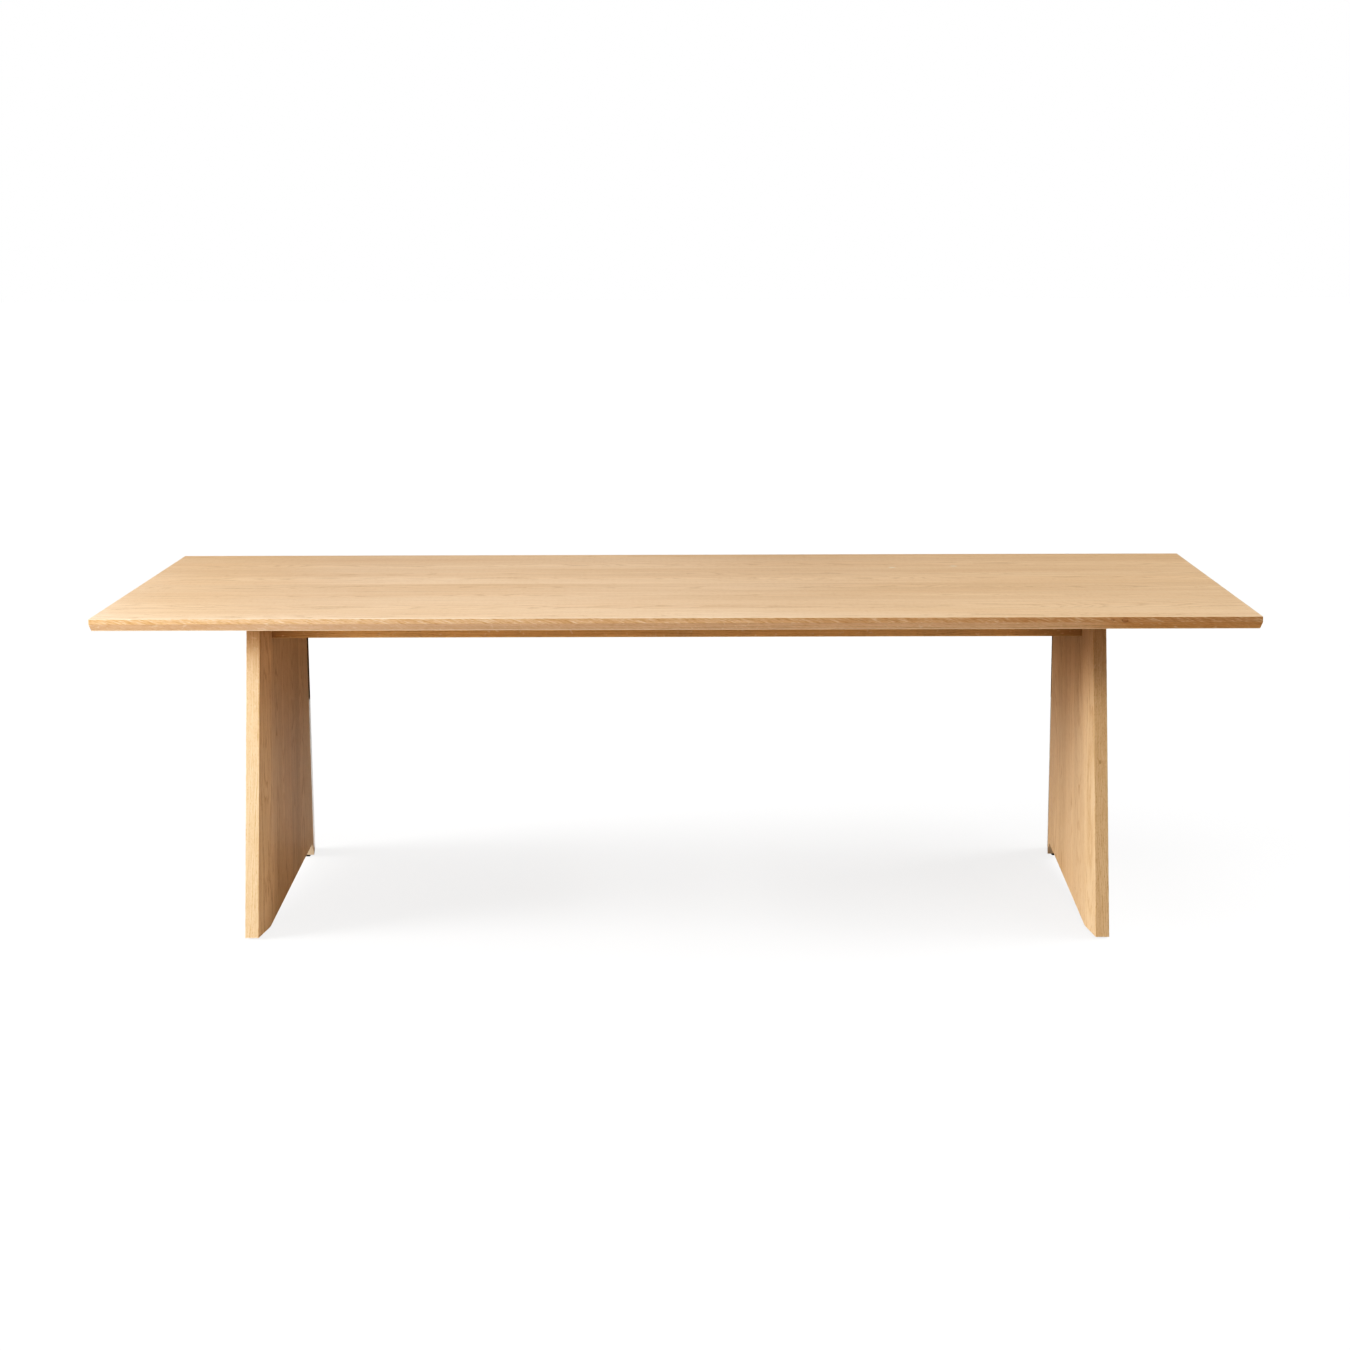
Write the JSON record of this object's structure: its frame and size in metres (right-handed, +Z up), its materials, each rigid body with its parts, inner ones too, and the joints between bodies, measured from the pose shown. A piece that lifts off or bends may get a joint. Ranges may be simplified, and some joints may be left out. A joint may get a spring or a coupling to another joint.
{
  "type": "communion table",
  "caption": "Long low-profile oak table: a board-built top with undercut edges on two full-depth slab legs, joined by hidden rails under the top.",
  "frame": {"origin": "on the floor, under the middle of the table top", "axes": "+X along the table to its right-hand end, -Y to its front, +Z up"},
  "size_m": [2.6, 1, 0.755],
  "materials": {
    "top_oak": "pale oiled oak with a matte surface, grain along the table",
    "leg_oak": "pale oiled oak with a matte surface, grain upright",
    "frame_oak": "plain oiled oak, a little darker, in the shade of the top",
    "joinery_beech": "plain beech tongues and dowels, hidden in the joints",
    "channel_steel": "black powder-coated steel",
    "fastener_steel": "bright zinc-plated steel",
    "glide_black": "matte black plastic"
  },
  "bodies": {
    "root": {"top_board_1": "top_oak", "top_board_2": "top_oak", "top_board_3": "top_oak", "top_board_4": "top_oak", "top_board_5": "top_oak", "top_board_6": "top_oak", "top_board_7": "top_oak", "top_board_8": "top_oak", "left_leg_board_1": "leg_oak", "left_leg_board_2": "leg_oak", "left_leg_board_3": "leg_oak", "left_leg_board_4": "leg_oak", "left_leg_board_5": "leg_oak", "left_leg_board_6": "leg_oak", "right_leg_board_1": "leg_oak", "right_leg_board_2": "leg_oak", "right_leg_board_3": "leg_oak", "right_leg_board_4": "leg_oak", "right_leg_board_5": "leg_oak", "right_leg_board_6": "leg_oak", "top_splines": "joinery_beech", "left_leg_splines": "joinery_beech", "right_leg_splines": "joinery_beech", "left_channel": "channel_steel", "centre_channel": "channel_steel", "right_channel": "channel_steel", "channel_screws": "fastener_steel", "front_rail": "frame_oak", "rear_rail": "frame_oak", "left_cleat": "frame_oak", "right_cleat": "frame_oak", "left_cross_rail": "frame_oak", "right_cross_rail": "frame_oak", "frame_dowels": "joinery_beech", "leg_bolts": "fastener_steel", "leg_bolt_washers": "fastener_steel", "leg_inserts": "fastener_steel", "top_screws": "fastener_steel", "left_front_glide": "glide_black", "left_rear_glide": "glide_black", "right_front_glide": "glide_black", "right_rear_glide": "glide_black", "glide_screws": "fastener_steel"}
  },
  "joints": []
}
